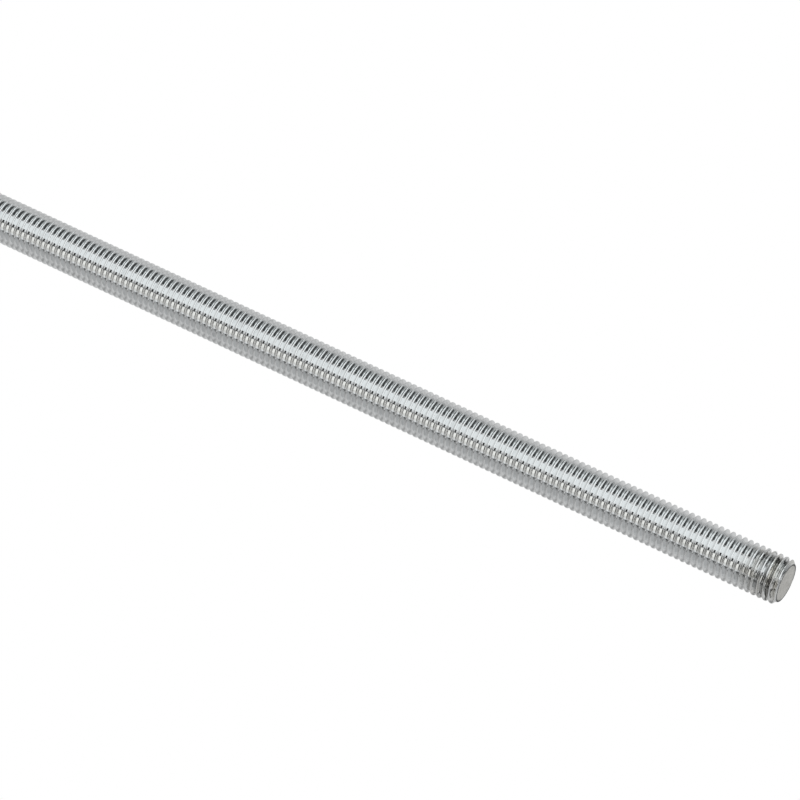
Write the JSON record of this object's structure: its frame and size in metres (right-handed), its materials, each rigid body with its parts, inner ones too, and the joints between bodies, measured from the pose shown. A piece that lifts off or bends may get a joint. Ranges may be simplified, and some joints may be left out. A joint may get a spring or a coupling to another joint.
{
  "type": "threaded rod",
  "caption": "Straight steel rod with a right-hand screw thread over its whole length and a bevelled flat face at each end.",
  "frame": {"origin": "centre of the first end face, on the rod's axis", "axes": "+X along the rod's axis from the first end face to the last, +Y and +Z across it"},
  "size_m": [0.4572, 0.0188, 0.0188],
  "materials": {
    "rod": "bright zinc plating on rolled steel"
  },
  "bodies": {
    "root": {"rod": "rod"}
  },
  "joints": []
}
